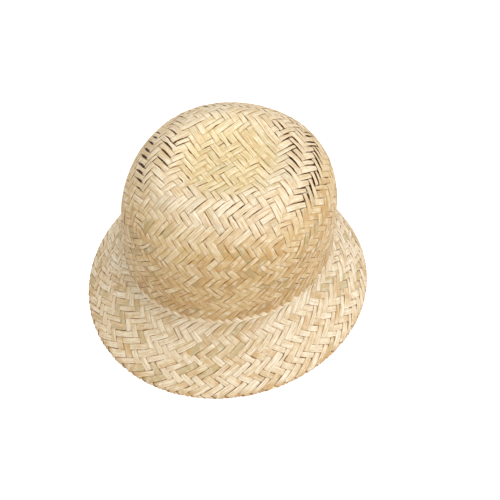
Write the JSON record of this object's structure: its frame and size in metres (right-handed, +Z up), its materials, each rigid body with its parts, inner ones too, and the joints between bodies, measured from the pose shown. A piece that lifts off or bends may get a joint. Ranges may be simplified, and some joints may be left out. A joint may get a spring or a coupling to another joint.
{
  "type": "plaited bamboo hat",
  "caption": "Plaited bamboo hat with a deep round crown and a short brim that slopes down all round, its strips folded under at the edge.",
  "frame": {"origin": "on the ground that the rim stands on, under the middle of the rim", "axes": "+Z up through the crown, -Y towards the front as worn, +X to the viewer's right when seen from the front"},
  "size_m": [0.2622, 0.2622, 0.1683],
  "materials": {
    "bamboo": "dry split bamboo with a soft satin sheen, from pale cream to straw and tan strip by strip"
  },
  "bodies": {
    "root": {"crown_tip": "bamboo", "crown_shoulder": "bamboo", "crown_wall": "bamboo", "brim": "bamboo", "rim_fold": "bamboo", "tucked_strip_ends": "bamboo"}
  },
  "joints": []
}
